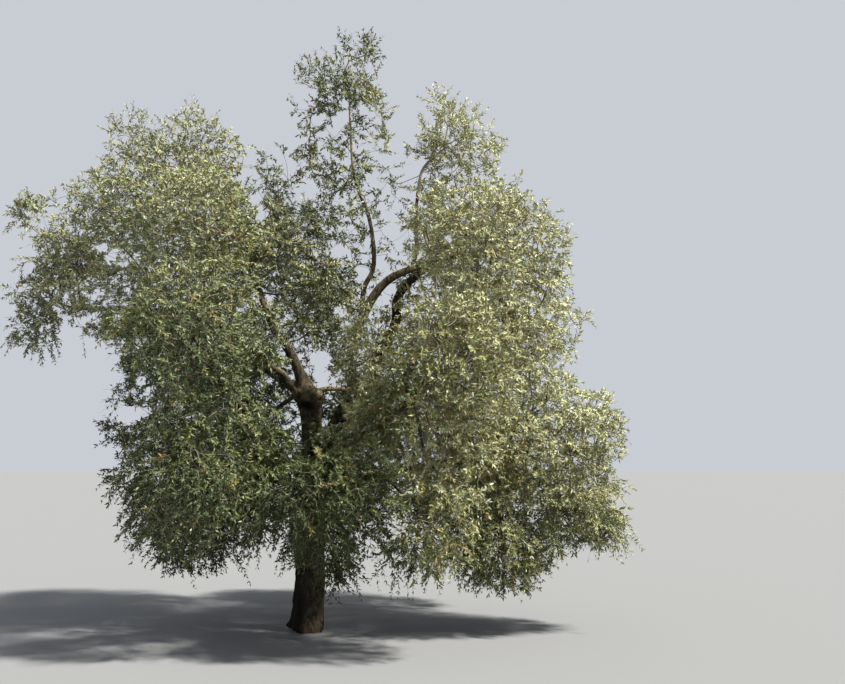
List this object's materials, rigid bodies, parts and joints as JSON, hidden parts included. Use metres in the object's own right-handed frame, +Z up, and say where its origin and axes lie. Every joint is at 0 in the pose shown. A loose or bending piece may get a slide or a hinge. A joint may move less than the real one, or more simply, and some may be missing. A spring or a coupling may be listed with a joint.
{
  "type": "olive tree",
  "caption": "Old olive tree with a short leaning trunk, forked boughs, an open uneven crown and a skirt of foliage hanging nearly to the ground.",
  "frame": {"origin": "middle of the flat cut under the trunk, at ground level", "axes": "+Z up the trunk, +X to the right and -Y towards a person who looks at the tree's usual side"},
  "size_m": [6.2663, 4.8412, 6.1497],
  "materials": {
    "bark": "rough",
    "foliage": "matt"
  },
  "bodies": {
    "root": {"arch_bough": "bark", "back_left_bough": "bark", "back_low_bough": "bark", "back_right_bough": "bark", "centre_leader": "bark", "cross_limb": "bark", "front_left_bough": "bark", "front_low_bough": "bark", "front_right_bough": "bark", "left_bough": "bark", "left_fork": "bark", "left_snag": "bark", "low_left_bough": "bark", "low_right_bough": "bark", "right_bough": "bark", "right_leader": "bark", "trunk": "bark", "foliage_back_left": "foliage", "foliage_back_left_high": "foliage", "foliage_back_left_skirt": "foliage", "foliage_back_low": "foliage", "foliage_back_middle": "foliage", "foliage_back_right": "foliage", "foliage_back_right_high": "foliage", "foliage_back_right_skirt": "foliage", "foliage_behind_left": "foliage", "foliage_behind_right": "foliage", "foliage_column_front": "foliage", "foliage_column_low": "foliage", "foliage_column_middle": "foliage", "foliage_column_right": "foliage", "foliage_front_left": "foliage", "foliage_front_left_high": "foliage", "foliage_front_left_skirt": "foliage", "foliage_front_right": "foliage", "foliage_front_right_high": "foliage", "foliage_front_right_skirt": "foliage", "foliage_front_skirt": "foliage", "foliage_left_arm_high": "foliage", "foliage_left_arm_low": "foliage", "foliage_left_inner": "foliage", "foliage_left_low": "foliage", "foliage_left_mid": "foliage", "foliage_left_skirt": "foliage", "foliage_left_skirt_inner": "foliage", "foliage_left_sprig": "foliage", "foliage_left_top": "foliage", "foliage_left_upper": "foliage", "foliage_right_far": "foliage", "foliage_right_far_low": "foliage", "foliage_right_low": "foliage", "foliage_right_mid": "foliage", "foliage_right_outer": "foliage", "foliage_right_skirt": "foliage", "foliage_right_tip": "foliage", "foliage_right_top": "foliage", "foliage_right_upper": "foliage", "foliage_tip": "foliage", "foliage_tip_left": "foliage", "foliage_tip_middle": "foliage"}
  },
  "joints": []
}
